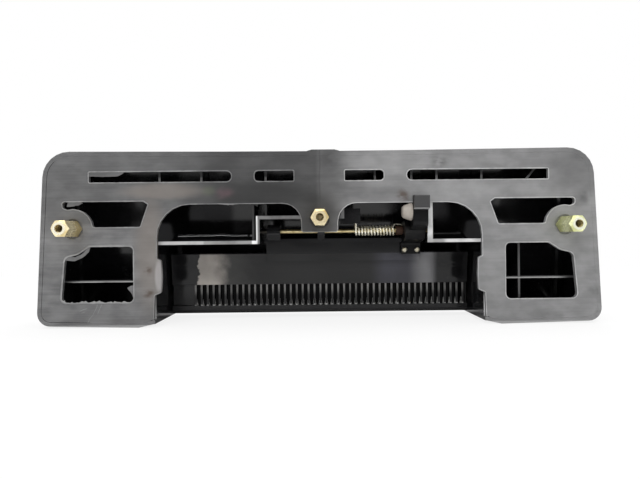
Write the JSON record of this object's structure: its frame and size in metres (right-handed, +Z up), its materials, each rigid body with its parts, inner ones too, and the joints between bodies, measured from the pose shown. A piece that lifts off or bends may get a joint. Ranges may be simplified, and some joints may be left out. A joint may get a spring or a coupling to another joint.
{
  "type": "trunk lid handle",
  "caption": "Trunk lid handle: moulded cover with a flat back frame on threaded standoffs, and a sprung finger paddle whose lever works the latch.",
  "frame": {"origin": "on the mounting plane, the back frame's rear face, on the centre line, 20 mm above the line through the outer standoffs", "axes": "+X along the handle, to the right as seen from behind; +Y from the mounting plane towards the front skin; +Z up"},
  "size_m": [0.3672, 0.0766, 0.1146],
  "materials": {
    "gloss_black_plastic": "glossy moulded",
    "sanded_black_plastic": "black plastic sanded flat, with fine horizontal scratches",
    "satin_black_plastic": "satin moulded",
    "brass": "machined",
    "yellow_zinc_steel": "yellow zinc plated",
    "spring_steel": "pale gold plated wire",
    "cream_nylon": "dull moulded",
    "brown_nylon": "greased"
  },
  "bodies": {
    "housing": {"outer_cover": "gloss_black_plastic", "back_frame": "sanded_black_plastic", "hinge_pin": "yellow_zinc_steel", "standoff_left": "brass", "standoff_centre": "brass", "standoff_right": "brass", "return_spring": "spring_steel"},
    "handle": {"paddle": "gloss_black_plastic", "release_lever": "satin_black_plastic", "lever_screw_left": "yellow_zinc_steel", "lever_screw_right": "yellow_zinc_steel", "rod_clip": "cream_nylon", "pivot_bush": "brown_nylon"}
  },
  "joints": [
    {"name": "paddle_hinge", "type": "hinge", "parent": "housing", "child": "handle", "pos_m": [0, 0.018, -0.0226], "axis": [1, 0, 0], "range_deg": [0, 15], "stiffness_Nm_per_rad": 0.164, "springref_deg": -57.3, "deforming": ["return_spring"]}
  ]
}
